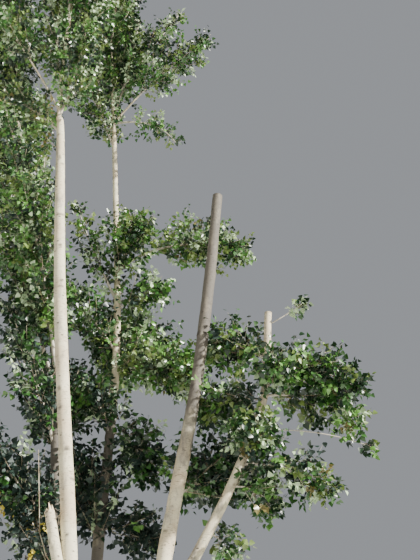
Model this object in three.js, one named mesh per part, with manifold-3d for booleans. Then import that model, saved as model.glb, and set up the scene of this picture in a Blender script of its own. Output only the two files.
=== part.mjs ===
// A Lombardy poplar grown as a clump: four upright stems on one flared butt, two of them forked low down,
// with two stems topped by a level cut and one split stub.
// Millimetres, +Z up, +X to the right of the view, +Y away from it.
// The origin is the middle of the flat cut at ground level, under the butt.
import * as THREE from "three";
import { mergeVertices } from "three/addons/utils/BufferGeometryUtils.js";
import Module from "manifold-3d";

const wasm = await Module();
wasm.setup();

// Driving dimensions
const GAP = 0.3;
const SKIN = 0.4;
const CLEAR = 1;
const FOOT_HEIGHT = 750;
const PARTING_HEIGHT = 2050;
const LIMB_SIDES = 10;
const LIMB_STEP = 620;

// The butt: its radius at each height, and the low lobes where the main roots begin
const BUTT_SIDES = 20;
const BUTT_PROFILE = [
  [0, 430],
  [90, 372],
  [260, 325],
  [550, 296],
  [850, 262],
  [1080, 190],
  [1210, 90],
];
const BUTT_LOBES = 5;
const LOBE_DEPTH = 0.11;
const LOBE_FADE = 300;

// Each stem runs through a few stations: east, north, up, radius
const STEMS = {
  stem_tall: [
    [-30, -100, FOOT_HEIGHT, 106],
    [-180, -130, 2700, 80],
    [-318, -145, 4450, 65],
    [-566, -160, 6870, 56],
    [-698, -180, 8800, 40],
    [-728, -184, 9050, 24],
    [-725, -190, 10100, 20],
    [-700, -200, 11000, 15],
  ],
  stem_middle: [
    [-100, 160, FOOT_HEIGHT, 85],
    [-190, 400, 2800, 68],
    [-172, 620, 4650, 53],
    [-118, 870, 6800, 37],
    [-225, 930, 8900, 28.5],
    [-360, 930, 10900, 18],
  ],
  stem_topped: [
    [120, 0, FOOT_HEIGHT, 98],
    [225, 0, 2750, 79],
    [443, 0, 4450, 65],
    [681, 0, 5950, 55],
    [813, 0, 7160, 53],
    [895, 0, 8150, 47.5],
  ],
  stem_left: [
    [-200, 40, FOOT_HEIGHT, 85],
    [-400, 280, 3000, 66],
    [-545, 460, 5000, 50],
    [-720, 560, 6900, 38],
    [-1120, 600, 8450, 27],
    [-1380, 640, 10000, 18],
  ],
  stem_side: [
    [345, -20, 3750, 53],
    [682, -60, 4420, 45],
    [996, -100, 5055, 39],
    [1286, -120, 5850, 36],
    [1355, -120, 6730, 32.5],
  ],
  stub_split: [
    [-265, -140, 3800, 53],
    [-400, -190, 4360, 47],
    [-497, -200, 4790, 41],
  ],
};
const FORKED_FROM = { stem_side: "stem_topped", stub_split: "stem_tall" };

// The split stub ends in splinters: one tooth per side, these tall in turn
const SPLINTERS = [70, 22, 46, 30, 88];
const SPLINTER_ROOT = 60;
const SPLINTER_WIDTH = 0.34;
const SPLINTER_RING = 0.6;

// Foliage, one row a mass: name, its limb, height there, heading in degrees from +X towards +Y,
// how far out and how far up its tip is, how many degrees its stem bends, the bare share of the stem,
// and the radius of its space
const MASSES = [
  ["right_top", "stem_side", 6120, -12.5, 750, -210, -45, 0.05, 330],
  ["right_middle", "stem_side", 5880, 18, 830, -90, -50, 0.12, 310],
  ["right_thin", "stem_side", 5550, 5, 1080, -130, -30, 0.65, 80],
  ["right_low", "stem_side", 5240, -10, 710, -270, -50, 0.06, 290],
  ["right_foot", "stem_side", 5050, 0, 330, -150, -60, 0.1, 260],
  ["right_skirt", "stem_side", 4650, 17, 150, -100, -60, 0.08, 230],
  ["inner_middle", "stem_side", 5850, 148, 560, 20, -40, 0.06, 350],
  ["inner_top", "stem_side", 6250, 142, 560, 300, -20, 0.06, 340],
  ["front_middle", "stem_side", 5350, -80, 330, 20, -30, 0.06, 340],
  ["front_top", "stem_side", 5900, -70, 320, 100, -20, 0.06, 330],
  ["peak_twig", "stem_side", 6600, 3, 330, 240, 10, 0.45, 100],
  ["arch", "stem_middle", 7850, 0, 1300, 230, -70, 0.3, 370],
  ["under_arch", "stem_middle", 7800, -60, 400, 310, -30, 0.06, 390],
  ["middle_right_top", "stem_middle", 7350, -6, 400, 220, -40, 0.05, 320],
  ["middle_left_top", "stem_middle", 7450, -158, 520, 1150, 10, 0.06, 230],
  ["middle_left", "stem_middle", 6850, -170, 500, 640, -10, 0.05, 320],
  ["middle_right", "stem_middle", 6620, -10, 740, -80, -45, 0.05, 410],
  ["middle_right_low", "stem_middle", 5950, -25, 400, -450, -50, 0.05, 340],
  ["middle_inner", "stem_middle", 5900, -120, 300, 350, -10, 0.05, 330],
  ["low_left", "stem_middle", 4750, 140, 480, 950, -30, 0.05, 430],
  ["low_right", "stem_middle", 4940, 18, 480, -60, -40, 0.05, 320],
  ["high_right", "stem_middle", 9870, -13, 1100, 1080, -20, 0.3, 310],
  ["high_right_top", "stem_middle", 10200, -9, 780, 1310, -5, 0.1, 270],
  ["high_hanging", "stem_middle", 9860, -23, 790, -520, -60, 0.2, 180],
  ["middle_crown", "stem_middle", 10870, 150, 60, 2540, 6, 0.04, 500],
  ["high_middle_right", "stem_middle", 9950, 20, 260, 1700, 6, 0.06, 240],
  ["high_middle_left", "stem_middle", 9500, 178, 420, 1500, 10, 0.06, 330],
  ["middle_back", "stem_middle", 10300, 92, 520, 1900, 8, 0.06, 450],
  ["tall_outer", "stem_tall", 9090, -168, 800, 1280, -12, 0.45, 350],
  ["tall_outer_low", "stem_tall", 8800, 173, 620, 560, -25, 0.06, 290],
  ["tall_second", "stem_tall", 9250, 178, 300, 1750, -10, 0.08, 260],
  ["tall_right", "stem_tall", 9000, -32, 270, 1100, 12, 0.06, 290],
  ["tall_front", "stem_tall", 10300, -85, 480, 1850, 10, 0.08, 430],
  ["tall_back", "stem_tall", 9800, 68, 560, 2000, 5, 0.08, 420],
  ["tall_crown", "stem_tall", 10970, 20, 60, 2440, 4, 0.04, 530],
  ["left_inner", "stem_left", 6700, -159, 280, 2300, 15, 0.05, 280],
  ["left_outer", "stem_left", 6200, -172, 950, 2190, -15, 0.2, 350],
  ["left_upper", "stem_left", 7700, 162, 860, 2150, 10, 0.05, 340],
  ["left_crown", "stem_left", 9970, 174, 400, 2400, 5, 0.04, 480],
  ["left_middle", "stem_left", 5600, -159, 560, 1410, -10, 0.05, 310],
  ["left_low", "stem_left", 4350, -168, 500, 950, -20, 0.05, 340],
  ["left_front", "stem_left", 4800, -140, 1000, 700, -30, 0.1, 340],
  ["left_front_top", "stem_left", 6450, -118, 1150, 2350, -20, 0.1, 350],
  ["left_back", "stem_left", 8600, 125, 800, 2200, -5, 0.08, 450],
  ["base_right", "stem_topped", 3150, -50, 700, 850, -20, 0.1, 360],
  ["base_back", "stem_middle", 2900, 75, 650, 1650, -20, 0.08, 400],
  ["base_left", "stem_left", 2700, 205, 700, 1350, -20, 0.1, 360],
  ["back_topped", "stem_topped", 4980, 48, 950, 480, -40, 0.06, 420],
  ["back_middle", "stem_middle", 6500, 83, 1150, 1100, -30, 0.05, 480],
  ["back_left", "stem_left", 5700, 95, 1000, 1100, -30, 0.05, 430],
];
// Where the stem of a wide mass stays bare for this share of its length, that share is a bough,
// a node of its own
const BOUGH_SHARE = 0.3;
const BOUGH_GIRTH = 240;
const BOUGH_SIDES = 8;
const STEM_SIDES = 3;
const STEM_STEP = 420;
const STEM_BEND = 12;
const STEM_ROOT = 8;
const STEM_GROWTH = 0.008;
const STEM_TAPER = 0.5;
const MOST_OF_PARENT = 0.55;

// Space of a mass: balls along its stem, which swell to its full radius soon and shrink slowly
const BALLS = 11;
const LEAST_FULLNESS = 0.5;
const SWELLS_EARLY = 0.75;
const SWELLS_WIDE = 0.6;
const TIP_NARROWING = 0.1;
const MOST_NARROWING = 0.6;

// Twigs and the leaf sprays they carry
const GOLDEN_ANGLE = 137.5;
const TWIG_LEAN = 55;
const FIRST_TWIGS = 2.3;
const TWIGS_PER_AREA = 4.9e-6;
const MOST_TWIGS = 6;
const LEAST_TWIGS = 3;
const TWIG_OFFSET = 0.55;
const TWIG_RADIUS = 5;
const TWIG_REACH = 0.5;
const LEAST_STALK = 60;
const SIDE_SPRAYS = [0.3, 0.75];
const SIDE_SHARE = 0.9;
const TIP_SPRAYS = [1, 0.7];
const END_SPRAY = 1.12;
const END_LEAN = 8;
const BLADE_ROOT = 2;
const BLADE_START = 0.12;
const BLADE_START_WIDTH = 6;
const BLADE_START_DEPTH = 4;
const SPRAY_SHARE = 1.35;
const SPRAY_REACH = 1.25;
const LEAST_SPRAY = 110;
const MOST_SPRAY = 440;
const SPRAY_WIDTH = 0.6;
const SPRAY_THICKNESS = 12;
const SPRAY_BELLY = 0.45;
const SPRAY_LEAN = 50;
const TIP_LEAN = 32;
const SPRAY_TRIES = [1, 0.7];
const TURN_TRIES = [0, 70, -70];
const TRIANGLE_WIDTH = Math.sqrt(3);
const TRIANGLE_HEIGHT = 1.5;
const EDGE = 1.15;

// Seeded numbers: each mass has a seed of its own
const FIRST_SEED = 2741;
const SEED_STEP = 9973;
const MULTIPLIER = 1664525;
const INCREMENT = 1013904223;
const NUMBER_RANGE = 2 ** 32;

const BARK = new THREE.MeshStandardMaterial({ color: 0xb5ab99, roughness: 0.85, metalness: 0 });
const FOLIAGE = new THREE.MeshStandardMaterial({ color: 0x4b6130, roughness: 0.5, metalness: 0 });

const radians = THREE.MathUtils.degToRad;
const EAST = new THREE.Vector3(1, 0, 0);
const MERGE_DISTANCE = 1e-3;
const HALVINGS = 40;

// Solids of manifold-3d from closed three.js geometry, and back
function solidOf(geometry) {
  const bare = geometry.clone();
  bare.deleteAttribute("normal");
  bare.deleteAttribute("uv");
  const merged = mergeVertices(bare, MERGE_DISTANCE);
  return new wasm.Manifold(
    new wasm.Mesh({
      numProp: 3,
      vertProperties: new Float32Array(merged.attributes.position.array),
      triVerts: new Uint32Array(merged.index.array),
    }),
  );
}

function geometryOf(solid) {
  const mesh = solid.getMesh();
  const geometry = new THREE.BufferGeometry();
  geometry.setAttribute("position", new THREE.BufferAttribute(mesh.vertProperties, 3));
  geometry.setIndex(new THREE.BufferAttribute(mesh.triVerts, 1));
  geometry.computeVertexNormals();
  return geometry;
}

// Only the largest body of a solid is kept, so that no loose scrap is left
function largestBody(solid) {
  const bodies = solid.decompose();
  return bodies.reduce((best, body) => (body.volume() > best.volume() ? body : best));
}

// A place on a curve, which runs on straight past its end
function placeOn(curve, share) {
  const place = curve.getPoint(Math.min(share, 1));
  const beyond = Math.max(share - 1, 0) * curve.getLength();
  return place.addScaledVector(curve.getTangent(Math.min(share, 1)), beyond);
}

// A tube along a curve: a cylinder whose rings are set across the curve, with a radius for each share of it
function tube(curve, radiusAt, from, to, sides, steps, across) {
  const geometry = new THREE.CylinderGeometry(1, 1, 1, sides, steps);
  const position = geometry.attributes.position;
  const point = new THREE.Vector3();
  for (let i = 0; i < position.count; i++) {
    point.fromBufferAttribute(position, i);
    const share = from + (point.y + 0.5) * (to - from);
    const along = curve.getTangent(THREE.MathUtils.clamp(share, 0, 1));
    const side = across.clone().addScaledVector(along, -across.dot(along)).normalize();
    const other = along.clone().cross(side);
    const radius = radiusAt(share);
    const centre = placeOn(curve, share);
    centre.addScaledVector(other, point.x * radius).addScaledVector(side, point.z * radius);
    position.setXYZ(i, centre.x, centre.y, centre.z);
  }
  return solidOf(geometry);
}

// A stem: a smooth curve through its stations, and the radius between them
function stemCurve(stations) {
  const points = stations.map(([east, north, up]) => new THREE.Vector3(east, north, up));
  return new THREE.CatmullRomCurve3(points, false, "catmullrom", 0.5);
}

function stemRadius(stations, share) {
  const place = THREE.MathUtils.clamp(share, 0, 1) * (stations.length - 1);
  const before = Math.min(Math.floor(place), stations.length - 2);
  return THREE.MathUtils.lerp(stations[before][3], stations[before + 1][3], place - before);
}

// The share of a rising curve at which it reaches a height
function shareAtHeight(curve, height) {
  let low = 0;
  let high = 1;
  for (let i = 0; i < HALVINGS; i++) {
    const middle = (low + high) / 2;
    if (curve.getPoint(middle).z < height) low = middle;
    else high = middle;
  }
  return low;
}

// The curve of a bough and the stem that goes on from it: an arc in a vertical plane, given by its chord
// and its bend
class RisingArc extends THREE.Curve {
  constructor(root, heading, reach, climb, bend) {
    super();
    this.root = root;
    this.outward = new THREE.Vector3(Math.cos(radians(heading)), Math.sin(radians(heading)), 0);
    const half = radians(bend) / 2;
    this.length = (Math.hypot(reach, climb) * half) / Math.sin(half);
    this.rise = Math.atan2(climb, reach) - half;
    this.turn = radians(bend) / this.length;
  }
  getPoint(share) {
    const run = share * this.length;
    const end = this.rise + this.turn * run;
    const out = (Math.sin(end) - Math.sin(this.rise)) / this.turn;
    const up = (Math.cos(this.rise) - Math.cos(end)) / this.turn;
    const point = this.root.clone().addScaledVector(this.outward, out);
    point.z += up;
    return point;
  }
  getTangent(share) {
    const angle = this.rise + this.turn * share * this.length;
    const tangent = this.outward.clone().multiplyScalar(Math.cos(angle));
    tangent.z = Math.sin(angle);
    return tangent;
  }
}

// Numbers between 0 and 1, the same on each run
function numbers(seed) {
  let state = seed;
  return () => {
    state = (Math.imul(state, MULTIPLIER) + INCREMENT) >>> 0;
    return state / NUMBER_RANGE;
  };
}

// The butt, whose lobes fade as it rises
function makeButt() {
  const geometry = new THREE.CylinderGeometry(1, 1, 1, BUTT_SIDES, BUTT_PROFILE.length - 1);
  geometry.rotateX(Math.PI / 2);
  const position = geometry.attributes.position;
  for (let i = 0; i < position.count; i++) {
    const ring = Math.round((position.getZ(i) + 0.5) * (BUTT_PROFILE.length - 1));
    const [height, radius] = BUTT_PROFILE[ring];
    const angle = Math.atan2(position.getY(i), position.getX(i));
    const lobe = 1 + LOBE_DEPTH * Math.cos(BUTT_LOBES * angle) * Math.exp(-height / LOBE_FADE);
    const reach = Math.hypot(position.getX(i), position.getY(i)) > 0.5 ? radius * lobe : 0;
    position.setXYZ(i, reach * Math.cos(angle), reach * Math.sin(angle), height);
  }
  return solidOf(geometry);
}

const stems = {};
for (const [name, stations] of Object.entries(STEMS)) {
  const curve = stemCurve(stations);
  const radiusAt = (share) => stemRadius(stations, share);
  const length = curve.getLength();
  stems[name] = { curve, radiusAt, length, across: EAST };
}

// The trunk is the butt joined with the lower part of each stem that stands on it
let trunk = makeButt();
for (const [name, stem] of Object.entries(stems)) {
  const { curve, radiusAt, length, across } = stem;
  const parting = FORKED_FROM[name] ? 0 : shareAtHeight(curve, PARTING_HEIGHT);
  if (parting) trunk = trunk.add(tube(curve, radiusAt, 0, parting, LIMB_SIDES, 2, across));
  const gap = GAP / length;
  const start = parting ? parting + gap : 0;
  const steps = Math.max(3, Math.round(((1 - parting) * length) / LIMB_STEP));
  stem.solid = tube(curve, radiusAt, start, 1, LIMB_SIDES, steps, across);
  const skinRadiusAt = (share) => radiusAt(share) + SKIN;
  stem.skin = tube(curve, skinRadiusAt, start, 1 + gap, LIMB_SIDES, steps, across);
}
for (const [name, parent] of Object.entries(FORKED_FROM)) {
  stems[name].solid = largestBody(stems[name].solid.subtract(stems[parent].skin));
  stems[name].skin = stems[name].skin.subtract(stems[parent].skin);
}

// Splinters: the split stub's end is drawn out into one tooth a side
function splinter(name) {
  const { curve, radiusAt } = stems[name];
  const end = curve.getPoint(1);
  const along = curve.getTangent(1);
  const across = EAST.clone().addScaledVector(along, -EAST.dot(along)).normalize();
  const other = along.clone().cross(across);
  let solid = stems[name].solid;
  SPLINTERS.forEach((height, i) => {
    const angle = (i / SPLINTERS.length) * 2 * Math.PI;
    const tooth = new THREE.ConeGeometry(radiusAt(1) * SPLINTER_WIDTH, height + SPLINTER_ROOT, 4);
    tooth.translate(0, (height - SPLINTER_ROOT) / 2, 0);
    tooth.applyQuaternion(new THREE.Quaternion().setFromUnitVectors(new THREE.Vector3(0, 1, 0), along));
    const ring = radiusAt(1) * SPLINTER_RING;
    const foot = end.clone().addScaledVector(across, Math.cos(angle) * ring);
    foot.addScaledVector(other, Math.sin(angle) * ring);
    tooth.translate(foot.x, foot.y, foot.z);
    solid = solid.add(solidOf(tooth));
  });
  stems[name].solid = largestBody(solid);
}
splinter("stub_split");

// Foliage: each mass has a stem on an arc, and balls along it that hold its space
const spaces = MASSES.map((row) => {
  const [name, limb, height, heading, reach, climb, bend, bare, girth] = row;
  const parent = stems[limb];
  const share = shareAtHeight(parent.curve, height);
  const root = parent.curve.getPoint(share);
  const curve = new RisingArc(root, heading, reach, climb, bend);
  const balls = [];
  for (let i = 0; i < BALLS; i++) {
    const along = i / (BALLS - 1);
    const radius = girth * fullnessAt(along, curve.length / girth);
    balls.push([curve.getPoint(bare + along * (1 - bare)), radius]);
  }
  const box = new THREE.Box3();
  for (const [centre, radius] of balls) {
    box.expandByPoint(centre.clone().addScalar(radius));
    box.expandByPoint(centre.clone().addScalar(-radius));
  }
  const across = new THREE.Vector3(-Math.sin(radians(heading)), Math.cos(radians(heading)), 0);
  const grown = STEM_ROOT + STEM_GROWTH * curve.length;
  const rootRadius = Math.min(grown, MOST_OF_PARENT * parent.radiusAt(share));
  return { name, limb, curve, balls, box, across, bend, bare, girth, rootRadius };
});

// How far a point lies from the stem of a space, 1 at the edge of the space
function depthIn(space, point) {
  return Math.min(...space.balls.map(([centre, radius]) => centre.distanceTo(point) / radius));
}

function inSpace(index, point) {
  const own = depthIn(spaces[index], point);
  if (own > EDGE) return false;
  return spaces.every(
    (other, i) => i === index || !other.box.containsPoint(point) || depthIn(other, point) > own,
  );
}

// A piece of foliage is kept only where it is clear of all that stands
function isClear(solid, others) {
  const box = solid.boundingBox();
  const near = others.filter(({ box: other }) =>
    [0, 1, 2].every((k) => box.min[k] < other.max[k] + CLEAR && box.max[k] > other.min[k] - CLEAR),
  );
  return near.every(({ solid: other }) => solid.minGap(other, CLEAR) >= CLEAR);
}

// A three-sided piece of foliage, as its sections: how far along, how wide and how deep each is.
// With a stalk it is a twig that ends in a leaf spray, and without one a spray alone.
// The free part of its blade comes back too: it has to keep clear of the stem that the piece stands on.
function sprig(root, along, face, stalk, blade) {
  const side = along.clone().cross(face).normalize();
  const up = side.clone().cross(along);
  const width = (blade * SPRAY_WIDTH) / TRIANGLE_WIDTH;
  const belly = [stalk + blade * SPRAY_BELLY, width, SPRAY_THICKNESS / TRIANGLE_HEIGHT];
  const point = [stalk + blade, 0, 0];
  const neck = [stalk, TWIG_RADIUS, TWIG_RADIUS];
  const start = [blade * BLADE_START, BLADE_START_WIDTH, BLADE_START_DEPTH];
  const stalkRoot = [0, TWIG_RADIUS, TWIG_RADIUS];
  const bladeRoot = [0, BLADE_ROOT, BLADE_ROOT];
  const whole = stalk > 0 ? [stalkRoot, neck, belly, point] : [bladeRoot, belly, point];
  const free = [stalk > 0 ? neck : start, belly, point];
  const shape = (sections) => {
    const geometry = new THREE.CylinderGeometry(0, 1, 1, 3, sections.length - 1);
    const position = geometry.attributes.position;
    for (let i = 0; i < position.count; i++) {
      const section = Math.round((0.5 + position.getY(i)) * (sections.length - 1));
      const [run, wide, deep] = sections[section];
      const reach = Math.hypot(position.getX(i), position.getZ(i));
      const scale = reach > 1e-6 ? 1 / reach : 0;
      const place = root.clone().addScaledVector(along, run);
      place.addScaledVector(side, position.getX(i) * scale * wide);
      place.addScaledVector(up, position.getZ(i) * scale * deep);
      position.setXYZ(i, place.x, place.y, place.z);
    }
    return solidOf(geometry);
  };
  return { whole: shape(whole), blade: shape(free) };
}

// A direction that leaves another by a lean, turned about it
function leaning(along, across, turn, lean) {
  const side = across.clone().addScaledVector(along, -across.dot(along)).normalize();
  const other = along.clone().cross(side);
  const outward = side.multiplyScalar(Math.cos(turn)).addScaledVector(other, Math.sin(turn));
  return outward.multiplyScalar(Math.sin(lean)).addScaledVector(along, Math.cos(lean));
}

// The radius of a space at a share of its length, against its full radius: slim ones end more pointed
function fullnessAt(along, slimness) {
  const swell = Math.sin(Math.PI * along ** SWELLS_EARLY) ** SWELLS_WIDE;
  const narrowing = Math.min(TIP_NARROWING * slimness, MOST_NARROWING);
  return (LEAST_FULLNESS + (1 - LEAST_FULLNESS) * swell) * (1 - narrowing * along ** 2);
}

// The stem of a mass, or its bough and the stem that goes on from it
function stemsOf({ name, limb, curve, across, bend, bare, girth, rootRadius }) {
  const radiusAt = (share) => rootRadius * (1 - STEM_TAPER * share);
  const steps = Math.max(curve.length / STEM_STEP, Math.abs(bend) / STEM_BEND);
  const stepsOver = (share) => Math.max(2, Math.round(share * steps));
  const stemFrom = (from, to, sides) => tube(curve, radiusAt, from, to, sides, stepsOver(to - from), across);
  const rooted = (solid) => largestBody(solid.subtract(stems[limb].skin));
  if (bare < BOUGH_SHARE || girth < BOUGH_GIRTH) return rooted(stemFrom(0, 1, STEM_SIDES));
  addNode("bough_" + name, rooted(stemFrom(0, bare, BOUGH_SIDES)));
  return stemFrom(bare + GAP / curve.length, 1, STEM_SIDES);
}

// A mass grows in its space, from its stem: sprays and twigs, which keep clear of all that stands
function growMass(index) {
  const { curve, across, bare, girth, name } = spaces[index];
  const random = numbers(FIRST_SEED + index * SEED_STEP);
  const others = [...nodes, ...massStems.filter((stem, i) => i > index)];
  let solid = massStems[index].solid;

  const size = THREE.MathUtils.clamp(girth * SPRAY_SHARE, LEAST_SPRAY, MOST_SPRAY);
  // A spray is tried at a few turns and sizes, and returns the direction that it takes
  const addSprig = (root, along, turn, lean, stalk, blade) => {
    for (const shrink of SPRAY_TRIES) {
      for (const offset of TURN_TRIES) {
        const direction = leaning(along, across, turn + radians(offset), lean);
        const point = (run) => root.clone().addScaledVector(direction, run);
        const length = blade * shrink;
        if (!inSpace(index, point(stalk + length / 2)) || !inSpace(index, point(stalk + length))) continue;
        const piece = sprig(root, direction, along, stalk, length);
        if (!isClear(piece.whole, others) || piece.blade.minGap(solid, CLEAR) < CLEAR) continue;
        solid = solid.add(piece.whole);
        return direction;
      }
    }
    return null;
  };

  // One spray carries on from the stem's end, and two end where it does
  const tipAlong = curve.getTangent(1);
  const tipTurn = random() * 2 * Math.PI;
  const tipRadius = girth * fullnessAt(1, curve.length / girth);
  const endBlade = Math.max(LEAST_SPRAY, tipRadius * END_SPRAY);
  addSprig(curve.getPoint(1), tipAlong, tipTurn, radians(END_LEAN), 0, endBlade);
  TIP_SPRAYS.forEach((part, k) => {
    const root = curve.getPoint(1 - (part * size) / curve.length);
    addSprig(root, tipAlong, tipTurn + k * Math.PI, radians(TIP_LEAN), 0, part * size);
  });

  // Twigs round the stem, each ending in a spray, with one more on either side
  const wanted = Math.round(FIRST_TWIGS + TWIGS_PER_AREA * girth * (1 - bare) * curve.length);
  const twigs = THREE.MathUtils.clamp(wanted, LEAST_TWIGS, MOST_TWIGS);
  const firstTurn = random() * 2 * Math.PI;
  for (let k = 0; k < twigs; k++) {
    const part = (k + TWIG_OFFSET) / twigs;
    const share = bare + (1 - bare) * part;
    const radius = girth * fullnessAt(part, curve.length / girth);
    const turn = firstTurn + radians(GOLDEN_ANGLE) * k;
    const blade = Math.max(LEAST_SPRAY, Math.min(size, radius * SPRAY_REACH));
    const stalk = Math.max(radius * TWIG_REACH, LEAST_STALK);
    const lean = Math.min(radians(TWIG_LEAN), Math.asin(Math.min(1, radius / (stalk + blade))));
    const foot = curve.getPoint(share);
    const direction = addSprig(foot, curve.getTangent(share), turn, lean, stalk, blade);
    const sprayTurn = random() * 2 * Math.PI;
    if (!direction) continue;
    SIDE_SPRAYS.forEach((place, i) => {
      const root = foot.clone().addScaledVector(direction, stalk * place);
      addSprig(root, direction, sprayTurn + i * Math.PI, radians(SPRAY_LEAN), 0, blade * SIDE_SHARE);
    });
  }
  addNode("foliage_" + name, largestBody(solid));
}

// The nodes in the order that they are made
const nodes = [];
function addNode(name, solid) {
  const box = solid.boundingBox();
  nodes.push({ name, solid, box });
}

addNode("trunk", largestBody(trunk));
for (const [name, stem] of Object.entries(stems)) addNode(name, stem.solid);
const massStems = spaces.map((space) => {
  const solid = stemsOf(space);
  return { solid, box: solid.boundingBox() };
});
MASSES.forEach((row, index) => growMass(index));

const tree = new THREE.Group();
for (const { name, solid } of nodes) {
  const mesh = new THREE.Mesh(geometryOf(solid), name.startsWith("foliage") ? FOLIAGE : BARK);
  mesh.name = name;
  tree.add(mesh);
}

export default tree;
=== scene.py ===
"""The looks of a clump poplar: bark with its relief, twigs, and leaves in sprays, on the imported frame.

Sizes are in millimetres, as in the part's source, and turn into metres when a mesh is written.
"""

import itertools
import math

import bpy
import numpy as np
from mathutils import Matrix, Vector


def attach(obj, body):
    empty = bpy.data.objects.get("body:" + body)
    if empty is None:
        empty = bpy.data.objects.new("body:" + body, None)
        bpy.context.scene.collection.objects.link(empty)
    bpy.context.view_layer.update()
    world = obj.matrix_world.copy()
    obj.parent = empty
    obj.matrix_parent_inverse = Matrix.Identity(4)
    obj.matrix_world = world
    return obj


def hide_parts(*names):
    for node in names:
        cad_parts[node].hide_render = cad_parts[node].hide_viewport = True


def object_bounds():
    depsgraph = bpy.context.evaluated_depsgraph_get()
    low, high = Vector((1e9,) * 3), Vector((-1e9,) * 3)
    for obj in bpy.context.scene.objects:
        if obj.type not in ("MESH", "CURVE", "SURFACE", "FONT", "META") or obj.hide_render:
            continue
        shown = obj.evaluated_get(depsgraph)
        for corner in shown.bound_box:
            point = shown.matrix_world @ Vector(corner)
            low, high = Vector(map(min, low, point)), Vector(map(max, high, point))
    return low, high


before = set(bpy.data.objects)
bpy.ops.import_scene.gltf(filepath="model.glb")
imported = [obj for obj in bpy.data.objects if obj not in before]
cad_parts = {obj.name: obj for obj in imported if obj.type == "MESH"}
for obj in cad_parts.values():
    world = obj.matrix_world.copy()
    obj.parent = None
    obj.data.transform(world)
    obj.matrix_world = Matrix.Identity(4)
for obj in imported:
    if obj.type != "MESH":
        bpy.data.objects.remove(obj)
cad_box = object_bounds()

MM = 0.001
UP = np.array([0.0, 0.0, 1.0])
EAST = np.array([1.0, 0.0, 0.0])
NEARLY_UP = UP + 0.01 * EAST
FULL_TURN = 2 * math.pi

# Where the stems start inside the butt, where they part from the trunk, and the gap there
FOOT_HEIGHT = 750
PARTING_HEIGHT = 2050
GAP = 0.3

# The stems, as in the part's source: east, north, up and radius at each station
STEMS = {
    "stem_tall": [
        (-30, -100, FOOT_HEIGHT, 106),
        (-180, -130, 2700, 80),
        (-318, -145, 4450, 65),
        (-566, -160, 6870, 56),
        (-698, -180, 8800, 40),
        (-728, -184, 9050, 24),
        (-725, -190, 10100, 20),
        (-700, -200, 11000, 15),
    ],
    "stem_middle": [
        (-100, 160, FOOT_HEIGHT, 85),
        (-190, 400, 2800, 68),
        (-172, 620, 4650, 53),
        (-118, 870, 6800, 37),
        (-225, 930, 8900, 28.5),
        (-360, 930, 10900, 18),
    ],
    "stem_topped": [
        (120, 0, FOOT_HEIGHT, 98),
        (225, 0, 2750, 79),
        (443, 0, 4450, 65),
        (681, 0, 5950, 55),
        (813, 0, 7160, 53),
        (895, 0, 8150, 47.5),
    ],
    "stem_left": [
        (-200, 40, FOOT_HEIGHT, 85),
        (-400, 280, 3000, 66),
        (-545, 460, 5000, 50),
        (-720, 560, 6900, 38),
        (-1120, 600, 8450, 27),
        (-1380, 640, 10000, 18),
    ],
    "stem_side": [
        (345, -20, 3750, 53),
        (682, -60, 4420, 45),
        (996, -100, 5055, 39),
        (1286, -120, 5850, 36),
        (1355, -120, 6730, 32.5),
    ],
    "stub_split": [
        (-265, -140, 3800, 53),
        (-400, -190, 4360, 47),
        (-497, -200, 4790, 41),
    ],
}
FORKED = ("stem_side", "stub_split")
LIMB_ENDS = {"stem_topped": "cut", "stem_side": "cut", "stub_split": "split"}

# How far the bark of each stem is greyed by weather, at each height, and how much painted shade it takes
# there: the high values paint the shadow on the upper topped stem, the lower middle stem and the stem on the
# left
WEATHERING_AND_SHADE = {
    "stem_tall": [(2050, 0.35), (3500, 0.12), (11000, 0.05)],
    "stem_middle": [(2050, 0.35), (4400, 0.75), (6000, 0.8), (6600, 0.1), (10900, 0.1)],
    "stem_topped": [(2050, 0.35), (3600, 0.15), (5000, 0.2), (5900, 0.75), (8150, 0.85)],
    "stem_left": [(2050, 0.35), (3500, 1.0), (6900, 0.9), (8400, 0.2), (10000, 0.2)],
    "stem_side": [(3750, 0.25), (5200, 0.35), (5900, 0.5), (6730, 0.15)],
    "stub_split": [(3800, 0.2), (4790, 0.1)],
}

# The butt: its radius at each height, and the low lobes where the main roots begin
BUTT_PROFILE = [(0, 430), (90, 372), (260, 325), (550, 296), (850, 262), (1080, 190), (1210, 90)]
BUTT_LOBES = 5
LOBE_DEPTH = 0.11
LOBE_FADE = 300

# The split stub's splinters, as in the source: one tooth per side, these tall in turn
SPLINTERS = (70, 22, 46, 30, 88)
SPLINTER_WIDTH = 0.34
SPLINTER_RING = 0.6

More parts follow.
